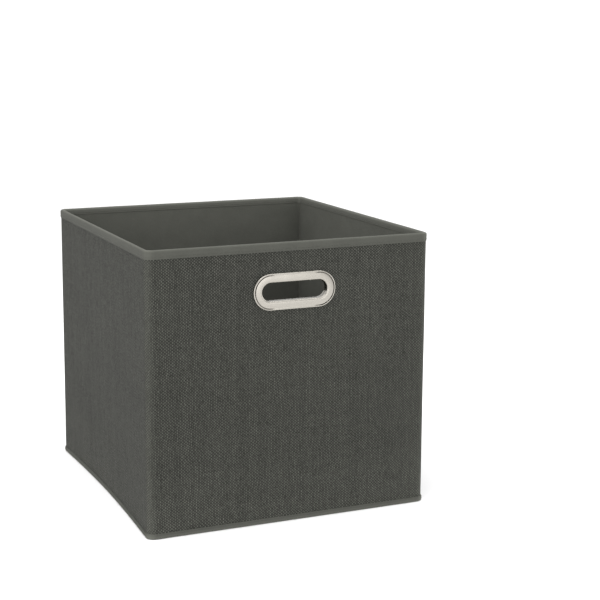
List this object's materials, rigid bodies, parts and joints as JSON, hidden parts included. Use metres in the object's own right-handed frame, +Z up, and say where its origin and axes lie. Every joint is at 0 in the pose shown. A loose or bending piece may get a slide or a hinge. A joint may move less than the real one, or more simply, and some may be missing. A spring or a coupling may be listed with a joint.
{
  "type": "fabric storage bin",
  "caption": "Open square storage bin of stiffened woven cloth, with a bound rim, a metal-lined oval hand-hole in its front wall and a loose lift-out base board.",
  "frame": {"origin": "centre of the bin's footprint, on the surface it stands on", "axes": "+X to the right along the front wall, +Y from the front wall with the hand-hole to the back wall, +Z up"},
  "size_m": [0.3108, 0.322, 0.29],
  "materials": {
    "woven_cloth": "coarse linen-look plain weave, matt",
    "lining": "smooth non-woven cloth, matt",
    "tape": "folded non-woven tape, faint sheen",
    "greyboard": "matt",
    "nickel": "satin pale nickel plate",
    "thread": "twisted sewing thread"
  },
  "bodies": {
    "bin": {"outer_cloth": "woven_cloth", "lining_cloth": "lining", "front_board": "greyboard", "back_board": "greyboard", "left_board": "greyboard", "right_board": "greyboard", "floor_cloth": "lining", "top_binding": "tape", "bottom_binding": "tape", "eyelet_front": "nickel", "eyelet_back": "nickel", "top_stitching_outside": "thread", "top_stitching_inside": "thread", "bottom_stitching": "thread"},
    "base_board": {"base_cover_bottom": "lining", "base_board_core": "greyboard", "base_cover_top": "lining", "base_stitching": "thread"}
  },
  "joints": [
    {"name": "base_lift", "type": "slide", "parent": "bin", "child": "base_board", "axis": [0, 0, 1], "range_m": [0, 0.34]}
  ]
}
